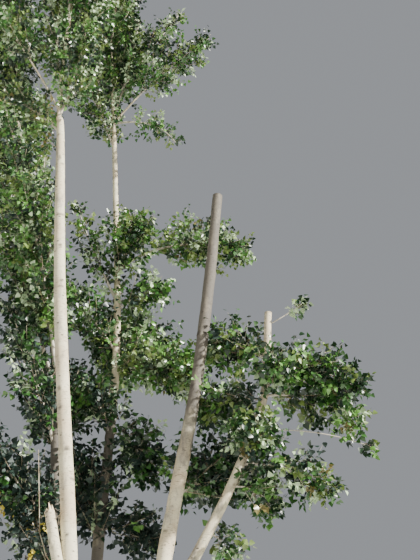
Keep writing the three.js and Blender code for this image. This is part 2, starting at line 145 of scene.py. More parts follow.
# Foliage, one row a mass, as in the source: name, its limb, height there, heading in degrees from +X
# towards +Y, how far out and how far up its tip is, how many degrees its stem bends, the bare share of
# the stem, and the radius of its space. A wide mass with a long bare share has a bough there.
MASSES = [
    ("right_top", "stem_side", 6120, -12.5, 750, -210, -45, 0.05, 330),
    ("right_middle", "stem_side", 5880, 18, 830, -90, -50, 0.12, 310),
    ("right_thin", "stem_side", 5550, 5, 1080, -130, -30, 0.65, 80),
    ("right_low", "stem_side", 5240, -10, 710, -270, -50, 0.06, 290),
    ("right_foot", "stem_side", 5050, 0, 330, -150, -60, 0.1, 260),
    ("right_skirt", "stem_side", 4650, 17, 150, -100, -60, 0.08, 230),
    ("inner_middle", "stem_side", 5850, 148, 560, 20, -40, 0.06, 350),
    ("inner_top", "stem_side", 6250, 142, 560, 300, -20, 0.06, 340),
    ("front_middle", "stem_side", 5350, -80, 330, 20, -30, 0.06, 340),
    ("front_top", "stem_side", 5900, -70, 320, 100, -20, 0.06, 330),
    ("peak_twig", "stem_side", 6600, 3, 330, 240, 10, 0.45, 100),
    ("arch", "stem_middle", 7850, 0, 1300, 230, -70, 0.3, 370),
    ("under_arch", "stem_middle", 7800, -60, 400, 310, -30, 0.06, 390),
    ("middle_right_top", "stem_middle", 7350, -6, 400, 220, -40, 0.05, 320),
    ("middle_left_top", "stem_middle", 7450, -158, 520, 1150, 10, 0.06, 230),
    ("middle_left", "stem_middle", 6850, -170, 500, 640, -10, 0.05, 320),
    ("middle_right", "stem_middle", 6620, -10, 740, -80, -45, 0.05, 410),
    ("middle_right_low", "stem_middle", 5950, -25, 400, -450, -50, 0.05, 340),
    ("middle_inner", "stem_middle", 5900, -120, 300, 350, -10, 0.05, 330),
    ("low_left", "stem_middle", 4750, 140, 480, 950, -30, 0.05, 430),
    ("low_right", "stem_middle", 4940, 18, 480, -60, -40, 0.05, 320),
    ("high_right", "stem_middle", 9870, -13, 1100, 1080, -20, 0.3, 310),
    ("high_right_top", "stem_middle", 10200, -9, 780, 1310, -5, 0.1, 270),
    ("high_hanging", "stem_middle", 9860, -23, 790, -520, -60, 0.2, 180),
    ("middle_crown", "stem_middle", 10870, 150, 60, 2540, 6, 0.04, 500),
    ("high_middle_right", "stem_middle", 9950, 20, 260, 1700, 6, 0.06, 240),
    ("high_middle_left", "stem_middle", 9500, 178, 420, 1500, 10, 0.06, 330),
    ("middle_back", "stem_middle", 10300, 92, 520, 1900, 8, 0.06, 450),
    ("tall_outer", "stem_tall", 9090, -168, 800, 1280, -12, 0.45, 350),
    ("tall_outer_low", "stem_tall", 8800, 173, 620, 560, -25, 0.06, 290),
    ("tall_second", "stem_tall", 9250, 178, 300, 1750, -10, 0.08, 260),
    ("tall_right", "stem_tall", 9000, -32, 270, 1100, 12, 0.06, 290),
    ("tall_front", "stem_tall", 10300, -85, 480, 1850, 10, 0.08, 430),
    ("tall_back", "stem_tall", 9800, 68, 560, 2000, 5, 0.08, 420),
    ("tall_crown", "stem_tall", 10970, 20, 60, 2440, 4, 0.04, 530),
    ("left_inner", "stem_left", 6700, -159, 280, 2300, 15, 0.05, 280),
    ("left_outer", "stem_left", 6200, -172, 950, 2190, -15, 0.2, 350),
    ("left_upper", "stem_left", 7700, 162, 860, 2150, 10, 0.05, 340),
    ("left_crown", "stem_left", 9970, 174, 400, 2400, 5, 0.04, 480),
    ("left_middle", "stem_left", 5600, -159, 560, 1410, -10, 0.05, 310),
    ("left_low", "stem_left", 4350, -168, 500, 950, -20, 0.05, 340),
    ("left_front", "stem_left", 4800, -140, 1000, 700, -30, 0.1, 340),
    ("left_front_top", "stem_left", 6450, -118, 1150, 2350, -20, 0.1, 350),
    ("left_back", "stem_left", 8600, 125, 800, 2200, -5, 0.08, 450),
    ("base_right", "stem_topped", 3150, -50, 700, 850, -20, 0.1, 360),
    ("base_back", "stem_middle", 2900, 75, 650, 1650, -20, 0.08, 400),
    ("base_left", "stem_left", 2700, 205, 700, 1350, -20, 0.1, 360),
    ("back_topped", "stem_topped", 4980, 48, 950, 480, -40, 0.06, 420),
    ("back_middle", "stem_middle", 6500, 83, 1150, 1100, -30, 0.05, 480),
    ("back_left", "stem_left", 5700, 95, 1000, 1100, -30, 0.05, 430),
]
BOUGH_SHARE = 0.3
BOUGH_GIRTH = 240

# Bare shoots: the limb, the height of the root, the radius there, and the way on: east, north, up
BARE_SHOOTS = [
    ("stub_split", 4250, 7, [(-500, -190, 4430), (-570, -170, 4630), (-642, -150, 5360)]),
    ("stub_split", 4700, 4, [(-430, -235, 4735), (-385, -250, 4762), (-345, -250, 4790)]),
    ("stem_tall", 8590, 4, [(-745, -195, 8630), (-780, -200, 8660), (-827, -200, 8728)]),
]
BARE_SHOOT_END = 0.4
BARE_SHOOT_SIDES = 6

# The stem of a mass: its radius at the root and the tip, and where it carries its limb on as a leader
STEM_ROOT = 8
STEM_GROWTH = 0.008
STEM_GIRTH = 0.075
STEM_END = 3.0
STEM_TAPER = 0.8
MOST_OF_PARENT = 0.55
LEADS_FROM = 0.98
LEADER_END = 0.55
LEADER_TAPER = 260

# The space of a mass: balls along its stem, as in the source
BALLS = 11
LEAST_FULLNESS = 0.5
SWELLS_EARLY = 0.75
SWELLS_WIDE = 0.6
TIP_NARROWING = 0.1
MOST_NARROWING = 0.6

# Bark mesh of a limb: sides, distance from row to row, the rows that close its end, and how full the
# first two of these are
LIMB_SIDES = 28
STUB_SIDES = 48
BOUGH_SIDES = 18
ROW_STEP = 22
LEAST_ROWS = 4
CLOSING_ROWS = {"cut": 6, "split": 9, "plain": 6}
END_EDGE = 0.985
END_FACE = 0.9
SHARP_ANGLE = 42

# Fibres on the split end: their size, and how much they add to the splinters
FIBRE_SIZE = (20 / 3, 20 / 3, 20)
FIBRE_SHARE = 0.2
FIBRE_HEIGHT = 4

# Bark mesh of the trunk: the tubes that it is joined from, how it is smoothed, how far round a stem's
# parting it is cut, and its usual radius
BUTT_START = -60
BUTT_ROUNDING = 60
BUTT_SIDES = 96
BUTT_ROWS = 90
FOOT_SIDES = 48
FOOT_ROWS = 80
FOOT_BEYOND = 150
TRUNK_VOXEL = 13
TRUNK_SMOOTHING = {"factor": 0.5, "iterations": 6}
SMOOTHING_FADES = (1500, 1900)
PARTING_REACH = 260
TRUNK_RADIUS = 95.0
# How far the trunk's bark is greyed by weather, and how much painted shade it takes
TRUNK_WEATHERED_AND_SHADED = 0.45

# The trunk's flat cuts: how near one a vertex counts as on it, and how much of the middle gets no relief.
# Just above the ground, relief stands out sideways alone.
FLAT_WITHIN = 0.5
PARTING_INSIDE = 60
GROUND_INSIDE = 250
SIDEWAYS_BELOW = 60

# Bumps of the bark, in layers: their size, their height, and the most of the limb's radius that they take
BUMP_LAYERS = [
    (230, math.inf, 0.045),
    (55, 1.6, 0.03),
    ((60, 60, 13), 0.8, 0.02),
]

# Cracks low down: they are full below the first height and gone above the second
CRACK_HEIGHTS = (500, 1900)
CRACK_SIZE = (48, 48, 330)
CRACK_WIDTH = 0.3
CRACK_DEPTH = 13

# Knots: their own sizes in millimetres, and the rest as shares of their size or of the limb's radius
KNOT_SPACING = (160, 420)
KNOT_SIZE = (10, 26)
KNOT_LIMIT = 0.42
KNOT_HEIGHT = 0.3
KNOT_WIDENING = 1.35
KNOT_REACH = 3.2
KNOT_RIM = 0.45
KNOT_HOLLOW = 0.8
HOLLOW_WIDTH = 0.6
KNOT_SCAR = 0.85

# Collars round the roots of side limbs, as shares of the root's radius
COLLAR_SIZE = 3.2
COLLAR_HEIGHT = 0.33
COLLAR_WIDTH = 0.6

# Ring scars round a stem, which wander and break off
RING_SPACING = (300, 760)
RING_STRENGTH = (0.4, 1)
RING_HEIGHT = 2.4
RING_LIMIT = 0.05
RING_WIDTH = 9
RING_REACH = 1.35
RING_WANDER = 0.8
RING_SCAR = 0.9
RING_BREAKS = 26
RING_BREAK_RANGE = (-0.1, 0.5)

# Twigs: spacing, lean, reach and thickness
TWIG_SPACING = 62
USUAL_GIRTH = 260
CLOSEST_TWIGS = 32
WIDEST_TWIGS = 70
TWIG_JITTER = (0.2, 0.8)
GOLDEN_ANGLE = 137.5
TWIG_LEAN = 55
TIP_LEAN_LOSS = 0.3
TWIG_LEAN_SPREAD = (-20, 6)
TWIG_REACH_SPREAD = (0.6, 1.12)
LEAST_TWIG = 30
TWIG_RISE = (-0.05, 0.28)
TWIG_EDGE = 0.95
TWIG_START = 3.4
TWIG_END = 1.6
USUAL_REACH = 260
TWIG_THICKNESS_RANGE = (0.55, 1.25)

# Sprays: shoots that leave the twigs, and a few at the tip of each mass. Slim masses have short ones.
SPRAY_SPACING = 52
SPRAY_LENGTH = (100, 190)
SPRAY_BEYOND = 0.6
SPRAY_OFFSET = 0.75
SPRAY_LEAN = (35, 68)
TIP_SPRAY_LEANS = (0, 35, 40, 45)
TIP_SPRAY_SHARE = 0.12
SPRAY_LIFT = 0.12
THIN_SPRAYS = 0.3
FULL_SPRAYS = 330
SPRAY_HOLD = 0.7
SPACE_EDGE = 1.18
SPRAY_START = 1.5
SPRAY_END = 0.6

# Leaves: their places on a spray, their sizes, and how each hangs and faces. The spiral step is in
# radians, and the sprays at a mass's tip share it.
LEAVES_PER_SPRAY = 9
SPIRAL_STEP = 2.4
LEAF_OFFSET = 0.6
LEAF_JITTER = 0.04
FIRST_LEAF = 0.05
SPIN_JITTER = 0.4
STALK_LEAN = (40, 75)
END_STALK_LEAN = 12
LEAF_LENGTH = (45, 76)
END_LEAF_LOSS = 0.25
PETIOLE_SHARE = 0.5
PETIOLE_SPREAD = (0.7, 1.2)
PETIOLE_HALF_WIDTH = 1.4
PETIOLE_END = 0.08
SMALLER_HIGH = 0.17
SMALLER_HEIGHTS = (6800, 9200)
BLADE_FOLLOWS = 0.75
BLADE_HANGS = 0.6
BLADE_STRAYS = 0.32
FACES_UP = 0.35
FACES_OUT = 0.45
FACE_STRAYS = 0.55
OUTSIDE_SHARE = 0.025

# The leaf: half its outline, on one side of the midrib, as shares of its length. Its triangles count
# the foot as 0, the right side as 1 to 3, the tip as 4 and the left side as 5 to 7.
LEAF_HALF = [(0.30, 0.02), (0.46, 0.25), (0.26, 0.62)]
LEAF_START = 0.03
LEAF_FOLD = 0.20
LEAF_DROOP = 0.12
LEAF_FACES = [(0, 1, 2), (0, 2, 3), (0, 3, 4), (0, 6, 5), (0, 7, 6), (0, 4, 7)]
LEAF_SHEEN = 0.16

# How finely curves and thin tubes are made. A tube steeper than STEEP is framed from the east.
STEM_POINTS = 14
STEM_SIDES = 8
TWIG_POINTS = 4
TWIG_SIDES = 4
SPRAY_POINTS = 2
SPRAY_SIDES = 3
CURVE_STEPS = 600
STEEP = 0.9
SEAM = 1e-6

# Seeds of the random numbers, and of each kind of noise after the bumps' own
FIRST_SEED = 2741
MARK_SEED = FIRST_SEED + 100
CRACK_SEED, WANDER_SEED, BREAK_SEED, FIBRE_SEED = 4, 5, 6, 7

# Primes, shifts and masks that mix the place of a cell into a number
CELL_FACTORS = (73856093, 19349663, 83492791)
SEED_FACTOR = 668265263
MIXING_STEPS = [(13, 1274126177), (15, 2246822519)]
LAST_SHIFT = 16
MIXED_BITS = 0xFFFFFFFF
KEPT_BITS = 0xFFFFFF


# Noise, curves and frames
def cell_numbers(cells, seed):
    """A number from 0 to 1 for each whole cell of space, the same on each run."""
    mixed = np.bitwise_xor.reduce(cells.astype(np.int64) * CELL_FACTORS, axis=1) ^ seed * SEED_FACTOR
    for shift, factor in MIXING_STEPS:
        mixed = (mixed ^ (mixed >> shift)) * factor & MIXED_BITS
    return ((mixed ^ (mixed >> LAST_SHIFT)) & KEPT_BITS) / KEPT_BITS


def eased(part):
    """A share from 0 to 1, eased at both ends."""
    return part * part * (3 - 2 * part)


def noise(points, size, seed):
    """Smooth noise from -1 to 1, whose bumps are about size apart."""
    scaled = points / np.asarray(size, float)
    cell = np.floor(scaled)
    part = eased(scaled - cell)
    total = np.zeros(len(points))
    for corner in itertools.product((0, 1), repeat=3):
        weight = np.prod(np.where(corner, part, 1 - part), axis=1)
        total += weight * cell_numbers(cell + corner, seed)
    return 2 * total - 1


def smooth_between(low, high, values):
    """0 up to low, 1 from high on, and a smooth rise between."""
    return eased(np.clip((values - low) / (high - low), 0, 1))


def hill(far, width, power=2):
    """1 where far is 0, falling away on both sides, steeply where the power is high."""
    return np.exp(-((far / width) ** power))


def unit(vectors):
    """The vectors, each brought to a length of 1."""
    return vectors / np.maximum(np.linalg.norm(vectors, axis=-1, keepdims=True), 1e-9)


def across(along, towards=EAST):
    """Two directions square to each given one: the first as near to towards as can be."""
    side = unit(towards - along * np.sum(along * towards, axis=-1, keepdims=True))
    return side, np.cross(along, side)


def turned(side, other, turn):
    """Directions turned from one side towards the other."""
    return side * np.cos(turn)[..., None] + other * np.sin(turn)[..., None]


def leaning(along, towards, turn, lean):
    """Directions that leave others by a lean, turned about them."""
    return turned(along, turned(*across(along, towards), turn), lean)


class Limb:
    """A curve with a radius. Shares run from 0 to 1, and runs are lengths along the curve."""

    def __init__(self, place, radius_at):
        self.place = place
        self.radius_at = radius_at
        self.shares = np.linspace(0, 1, CURVE_STEPS)
        self.points = place(self.shares)[0]
        steps = np.linalg.norm(np.diff(self.points, axis=0), axis=1)
        self.runs = np.concatenate([[0], np.cumsum(steps)])
        self.length = self.runs[-1]

    def share_at_run(self, run):
        return np.interp(run, self.runs, self.shares)

    def run_at_share(self, share):
        return np.interp(share, self.shares, self.runs)

    def share_at_height(self, height):
        return float(np.interp(height, self.points[:, 2], self.shares))


def stem_limb(stations):
    """A stem: a smooth curve through its stations, with its radius between them."""
    points = np.array(stations, float)[:, :3]
    radii = np.array(stations, float)[:, 3]
    knots = np.vstack([2 * points[0] - points[1], points, 2 * points[-1] - points[-2]])

    def place(share):
        run = np.clip(np.atleast_1d(share), 0, 1) * (len(points) - 1)
        before = np.minimum(run.astype(int), len(points) - 2)
        t = (run - before)[:, None]
        one, two, three, four = (knots[before + k] for k in range(4))
        leaving = (three - one) / 2
        arriving = (four - two) / 2
        bend = 3 * (three - two) - 2 * leaving - arriving
        twist = 2 * (two - three) + leaving + arriving
        position = two + leaving * t + bend * t**2 + twist * t**3
        return position, unit(leaving + 2 * bend * t + 3 * twist * t**2)

    def radius_at(share):
        return np.interp(np.clip(share, 0, 1) * (len(radii) - 1), np.arange(len(radii)), radii)

    return Limb(place, radius_at)


def rising_arc(root, heading, reach, climb, bend):
    """The curve of a bough and the stem that goes on from it: an arc in a vertical plane."""
    outward = np.array([math.cos(math.radians(heading)), math.sin(math.radians(heading)), 0])
    half = math.radians(bend) / 2
    length = math.hypot(reach, climb) * half / math.sin(half)
    rise = math.atan2(climb, reach) - half
    turn = math.radians(bend) / length

    def place(share):
        angle = rise + turn * length * np.atleast_1d(share)[:, None]
        out = (np.sin(angle) - math.sin(rise)) / turn
        up = (math.cos(rise) - np.cos(angle)) / turn
        return root + outward * out + UP * up, outward * np.cos(angle) + UP * np.sin(angle)

    return place, length, np.cross(UP, outward)


limbs = {name: stem_limb(stations) for name, stations in STEMS.items()}


# Masses: the stem of each, and the balls along it that hold its space
def fullness_at(part, slimness):
    """The radius of a space at a share of its length, against its full radius: slim ones end pointed."""
    swell = np.sin(np.pi * part**SWELLS_EARLY) ** SWELLS_WIDE
    narrowing = min(TIP_NARROWING * slimness, MOST_NARROWING)
    return (LEAST_FULLNESS + (1 - LEAST_FULLNESS) * swell) * (1 - narrowing * part**2)


class Mass:
    """One mass of foliage: its stem, its space, and the seed of its numbers."""

    def __init__(self, number, row):
        name, limb, height, heading, reach, climb, bend, bare, girth = row
        self.name = name
        self.limb = limb
        self.bare = bare
        self.girth = girth
        self.seed = FIRST_SEED + number
        self.has_bough = bare >= BOUGH_SHARE and girth >= BOUGH_GIRTH
        parent = limbs[limb]
        share = parent.share_at_height(height)
        parent_radius = float(parent.radius_at(share))
        self.root = parent.place(share)[0][0]
        self.place, self.length, self.across = rising_arc(self.root, heading, reach, climb, bend)
        self.leads = share > LEADS_FROM
        if self.leads:
            self.root_radius = LEADER_END * parent_radius
        else:
            grown = min(STEM_ROOT + STEM_GROWTH * self.length, STEM_GIRTH * girth)
            self.root_radius = min(grown, MOST_OF_PARENT * parent_radius)
        part = np.linspace(0, 1, BALLS)
        self.balls = self.place(bare + part * (1 - bare))[0]
        self.slimness = self.length / girth
        self.ball_radii = girth * fullness_at(part, self.slimness)

    def radius_at(self, share):
        return self.root_radius + (STEM_END - self.root_radius) * np.asarray(share) ** STEM_TAPER

    def depth(self, points):
        """How far points lie from the stem of the space, 1 at its edge."""
        gaps = np.linalg.norm(points[:, None, :] - self.balls[None], axis=2)
        return (gaps / self.ball_radii).min(axis=1)


masses = [Mass(number, row) for number, row in enumerate(MASSES)]


# Bark relief, worked out from the place of each point, so that it runs on over the parting of two pieces
def scattered_places(limb, spacing, random):
    """Places along a limb at random distances: the centre, direction and radius of each."""
    run = 0
    while run < limb.length:
        run += random.uniform(*spacing)
        share = limb.share_at_run(run)
        centre, along = limb.place(share)
        yield centre[0], along[0], float(limb.radius_at(share))


def bark_marks():
    """Knots and ring scars along each stem, and a collar round the root of each side limb."""
    knots, rings = [], []
    for number, limb in enumerate(limbs.values()):
        random = np.random.default_rng(MARK_SEED + number)
        for centre, along, radius in scattered_places(limb, KNOT_SPACING, random):
            outward = turned(*across(along), random.uniform(0, FULL_TURN))
            size = min(random.uniform(*KNOT_SIZE), KNOT_LIMIT * radius)
            knots.append((centre + outward * radius, size))
        for centre, along, radius in scattered_places(limb, RING_SPACING, random):
            rings.append((centre, radius, along, random.uniform(*RING_STRENGTH)))
    collars = [(mass.root, mass.root_radius) for mass in masses if not mass.leads]
    return knots, collars, rings


KNOTS, COLLARS, RINGS = bark_marks()


def marks_near(points, marks, reach):
    """Each mark with points within reach, in its own sizes: those points, their offsets, and its numbers."""
    for centre, size, *numbers in marks:
        near = np.flatnonzero(np.abs(points - centre).max(axis=1) < reach * size)
        if len(near):
            yield near, points[near] - centre, size, *numbers


def oval_distance(offset, size):
    """How far out an offset lies in an oval that is wider than it is tall, 1 at its edge."""
    return np.hypot(np.hypot(offset[:, 0], offset[:, 1]) / KNOT_WIDENING, offset[:, 2]) / size


def bark_relief(points, radius):
    """How far the bark stands out at each point, how scarred it is there, and how deep in a crack."""
    stand = np.zeros(len(points))
    scar = np.zeros(len(points))
    for seed, (size, height, share) in enumerate(BUMP_LAYERS, start=1):
        stand += noise(points, size, seed) * np.minimum(height, share * radius)
    aged = 1 - smooth_between(*CRACK_HEIGHTS, points[:, 2])
    crack = np.clip(1 - np.abs(noise(points, CRACK_SIZE, CRACK_SEED)) / CRACK_WIDTH, 0, 1) * aged
    stand -= crack * CRACK_DEPTH
    for near, offset, size in marks_near(points, KNOTS, KNOT_REACH):
        far = oval_distance(offset, size)
        rim = hill(far - 1, KNOT_RIM) - KNOT_HOLLOW * hill(far, HOLLOW_WIDTH)
        stand[near] += KNOT_HEIGHT * size * rim
        scar[near] = np.maximum(scar[near], hill(far, KNOT_SCAR, power=4))
    for near, offset, size in marks_near(points, COLLARS, KNOT_REACH * COLLAR_SIZE):
        stand[near] += COLLAR_HEIGHT * size * hill(oval_distance(offset, COLLAR_SIZE * size), COLLAR_WIDTH)
    for near, offset, size, along, strength in marks_near(points, RINGS, RING_REACH):
        wander = noise(points[near], RING_WANDER * size, WANDER_SEED) * RING_WIDTH
        within = np.linalg.norm(offset, axis=1) < RING_REACH * size
        ridge = hill(offset @ along + wander, RING_WIDTH) * within
        stand[near] += ridge * strength * min(RING_HEIGHT, RING_LIMIT * size)
        broken = smooth_between(*RING_BREAK_RANGE, noise(points[near], RING_BREAKS, BREAK_SEED))
        scar[near] = np.maximum(scar[near], RING_SCAR * ridge * broken)
    return stand, scar, crack


# Mesh making
def read_points(piece):
    flat = np.empty(len(piece.data.vertices) * 3)
    piece.data.vertices.foreach_get("co", flat)
    return flat.reshape(-1, 3)


def write_points(piece, points):
    piece.data.vertices.foreach_set("co", points.astype(np.float32).ravel())
    piece.data.update()


def write_marks(piece, marks):
    """Keeps the numbers of each mark on the vertices, for the material to read."""
    for name, values in marks.items():
        mark = piece.data.attributes.new(name, "FLOAT", "POINT")
        mark.data.foreach_set("value", np.asarray(values, np.float32))


def choose(*pieces):
    """Selects these pieces and no others, with the first of them active."""
    bpy.ops.object.select_all(action="DESELECT")
    for piece in pieces:
        piece.select_set(True)
    bpy.context.view_layer.objects.active = pieces[0]


def edit(piece):
    """Opens a piece for editing, with all of it selected."""
    choose(piece)
    bpy.ops.object.mode_set(mode="EDIT")
    bpy.ops.mesh.select_all(action="SELECT")


def close_edit():
    bpy.ops.object.mode_set(mode="OBJECT")


def apply_modifier(piece, kind, **settings):
    """Adds a modifier with these settings, and applies it."""
    choose(piece)
    modifier = piece.modifiers.new(kind.title(), kind)
    for key, value in settings.items():
        setattr(modifier, key, value)
    bpy.ops.object.modifier_apply(modifier=modifier.name)


def rolled_tube(name, sides, rows, place):
    """A grid rolled up into a tube. place gives the points and marks for the rows and turns of vertices."""
    bpy.ops.object.select_all(action="DESELECT")
    bpy.ops.mesh.primitive_grid_add(x_subdivisions=sides, y_subdivisions=rows - 1, size=2)
    piece = bpy.context.object
    piece.name = name
    piece.data.name = name
    flat = (read_points(piece) + 1) / 2
    row = np.rint(flat[:, 1] * (rows - 1)).astype(int)
    turn = np.rint(flat[:, 0] * sides) % sides / sides * FULL_TURN
    points, marks = place(row, turn)
    write_points(piece, points * MM)
    write_marks(piece, marks)
    edit(piece)
    bpy.ops.mesh.remove_doubles(threshold=SEAM)
    bpy.ops.mesh.normals_make_consistent(inside=False)
    close_edit()
    return piece


def closed_rows(values):
    """Values with the first and the last repeated, for rows that close both ends, and how full each is."""
    rows = np.concatenate([values[:1], values, values[-1:]])
    full = np.concatenate([[0], np.ones(len(values)), [0]])
    return rows, full


def splinter_height(turn, fullness):
    """How far the broken face of the split stub stands up, at each turn and each share of its radius."""
    flat = np.stack([np.cos(turn), np.sin(turn)], axis=1) * fullness[:, None]
    height = np.zeros(len(turn))
    for number, tall in enumerate(SPLINTERS):
        angle = number / len(SPLINTERS) * FULL_TURN
        centre = np.array([math.cos(angle), math.sin(angle)]) * SPLINTER_RING
        gap = np.linalg.norm(flat - centre, axis=1)
        height = np.maximum(height, tall * np.clip(1 - gap / SPLINTER_WIDTH, 0, 1))
    return height


def dress_limb(name, limb, start, end, sides, finish, weathering_and_shade):
    """A limb with its bark. Its finish is cut for a sawn end, split for a broken one, or plain."""
    first, last = limb.run_at_share(start), limb.run_at_share(end)
    count = max(LEAST_ROWS, int(round((last - first) / ROW_STEP)) + 1)
    closing = np.concatenate([[END_EDGE], np.linspace(END_FACE, 0, CLOSING_ROWS[finish])])
    runs = np.concatenate([[first], np.linspace(first, last, count), np.full(len(closing), last)])
    shares = limb.share_at_run(runs)
    fullness = np.concatenate([[0], np.ones(count), closing])
    on_end = np.concatenate([np.zeros(count + 1, bool), np.full(len(closing), finish != "plain")])
    centres, along = limb.place(shares)
    side, other = across(along)
    radii = limb.radius_at(shares)
    if finish == "plain" and end == 1:
        from_end = last - limb.run_at_share(shares)
        radii = radii * (LEADER_END + (1 - LEADER_END) * smooth_between(0, LEADER_TAPER, from_end))

    def place(row, turn):
        outward = turned(side[row], other[row], turn)
        skin = centres[row] + outward * radii[row][:, None]
        stand, scar, crack = bark_relief(skin, radii[row])
        reach = (radii[row] + stand) * fullness[row]
        points = centres[row] + outward * reach[:, None]
        on_face = on_end[row]
        if finish == "split":
            fibre = noise(points, FIBRE_SIZE, FIBRE_SEED)
            rise = splinter_height(turn, fullness[row]) * (1 + FIBRE_SHARE * fibre) + FIBRE_HEIGHT * fibre
            points += along[row] * (rise * on_face)[:, None]
        # The first mark greys the bark and paints shade on it, by height, after the stem's table
        marks = {
            "weathered": np.interp(skin[:, 2], *np.array(WEATHERING_AND_SHADE[weathering_and_shade]).T),
            "scar": scar * ~on_face,
            "crack": crack * ~on_face,
            "pith": np.where(on_face, fullness[row], 1),
            "sawn": on_face,
        }
        return points, marks

    return rolled_tube(name, sides, len(fullness), place)


def butt_tube():
    """The butt: its profile turned round, with lobes that fade as it rises. It starts below the ground."""
    heights, radii = np.array(BUTT_PROFILE, float).T
    levels, full = closed_rows(np.linspace(BUTT_START, heights[-1], BUTT_ROWS))

    def place(row, turn):
        height = levels[row]
        below = np.interp(height - BUTT_ROUNDING, heights, radii)
        above = np.interp(height + BUTT_ROUNDING, heights, radii)
        lobe = 1 + LOBE_DEPTH * np.cos(BUTT_LOBES * turn) * np.exp(-np.maximum(height, 0) / LOBE_FADE)
        reach = (below + above) / 2 * lobe * full[row]
        return np.stack([reach * np.cos(turn), reach * np.sin(turn), height], axis=1), {}

    return rolled_tube("butt", BUTT_SIDES, len(levels), place)


def foot_tube(name, limb, parting):
    """The lower part of a stem, taken a little past its parting, to be cut there."""
    runs, full = closed_rows(np.linspace(0, limb.run_at_share(parting) + FOOT_BEYOND, FOOT_ROWS))
    shares = limb.share_at_run(runs)
    centres, along = limb.place(shares)
    side, other = across(along)
    radii = limb.radius_at(shares) * full

    def place(row, turn):
        return centres[row] + turned(side[row], other[row], turn) * radii[row][:, None], {}

    return rolled_tube(name, FOOT_SIDES, len(full), place)


def cut_flat(piece, place, direction, reach):
    """Cuts off what lies past a plane, but only within reach of its place, and closes the cut."""
    gaps = np.linalg.norm(read_points(piece) / MM - place, axis=1)
    edit(piece)
    bpy.ops.mesh.select_all(action="DESELECT")
    close_edit()
    piece.data.vertices.foreach_set("select", gaps < reach)
    bpy.ops.object.mode_set(mode="EDIT")
    bpy.ops.mesh.select_mode(type="VERT")
    bpy.ops.mesh.bisect(plane_co=place * MM, plane_no=direction, clear_outer=True, use_fill=True)
    close_edit()


def grown_together(butt, feet):
    """The butt and the stems' feet joined into one mesh, and smoothed low down."""
    choose(butt, *feet)
    bpy.ops.object.join()
    apply_modifier(butt, "REMESH", mode="VOXEL", voxel_size=TRUNK_VOXEL * MM)
    points = read_points(butt) / MM
    apply_modifier(butt, "SMOOTH", **TRUNK_SMOOTHING)
    softened = read_points(butt) / MM
    high = smooth_between(*SMOOTHING_FADES, points[:, 2])[:, None]
    write_points(butt, (softened * (1 - high) + points * high) * MM)


def dress_trunk(trunk, cuts):
    """Gives the trunk its bark relief, and keeps the middle of each flat cut flat."""
    points = read_points(trunk) / MM
    normals = np.empty(len(points) * 3)
    trunk.data.vertices.foreach_get("normal", normals)
    normals = normals.reshape(-1, 3)
    normals[:, 2] *= smooth_between(0, SIDEWAYS_BELOW, points[:, 2])
    stand, scar, crack = bark_relief(points, np.full(len(points), TRUNK_RADIUS))
    for centre, along in cuts:
        offset = points - centre
        inside = np.linalg.norm(offset, axis=1) < PARTING_INSIDE
        stand[inside & (np.abs(offset @ along) < FLAT_WITHIN)] = 0
    foot = points[:, 2] < FLAT_WITHIN
    stand[foot & (np.hypot(points[:, 0], points[:, 1]) < GROUND_INSIDE)] = 0
    points += unit(normals) * stand[:, None]
    points[foot, 2] = 0
    points[:, 2] = np.maximum(points[:, 2], 0)
    write_points(trunk, points * MM)
    # The first mark greys the trunk's bark evenly and paints some shade on it
    marks = {
        "weathered": np.full(len(points), TRUNK_WEATHERED_AND_SHADED),
        "scar": scar,
        "crack": crack,
        "pith": np.ones(len(points)),
        "sawn": np.zeros(len(points)),
    }
    write_marks(trunk, marks)


def trunk_piece(partings):
    """The trunk: butt and stem feet grown into one, cut flat at the ground and at each parting."""
    feet = [foot_tube("foot_" + name, limbs[name], share) for name, share in partings.items()]
    trunk = butt_tube()
    trunk.name = "bark_trunk"
    grown_together(trunk, feet)
    cut_flat(trunk, 0 * UP, -UP, math.inf)
    cuts = []
    for name, share in partings.items():
        centre, along = limbs[name].place(share)
        cuts.append((centre[0], along[0]))
        cut_flat(trunk, centre[0], along[0], PARTING_REACH)
    dress_trunk(trunk, cuts)
    return trunk


def add_object(name, data):
    """An object with this data, in the scene."""
    made = bpy.data.objects.new(name, data)
    bpy.context.scene.collection.objects.link(made)
    return made


def mesh_piece(name, points, faces):
    """A piece from plain arrays of points, in millimetres, and triangles."""
    mesh = bpy.data.meshes.new(name)
    mesh.vertices.add(len(points))
    mesh.vertices.foreach_set("co", (points * MM).astype(np.float32).ravel())
    mesh.loops.add(faces.size)
    mesh.loops.foreach_set("vertex_index", faces.astype(np.int32).ravel())
    mesh.polygons.add(len(faces))
    mesh.polygons.foreach_set("loop_start", np.arange(0, faces.size, 3, dtype=np.int32))
    mesh.polygons.foreach_set("use_smooth", np.ones(len(faces), bool))
    mesh.update(calc_edges=True)
    return add_object(name, mesh)


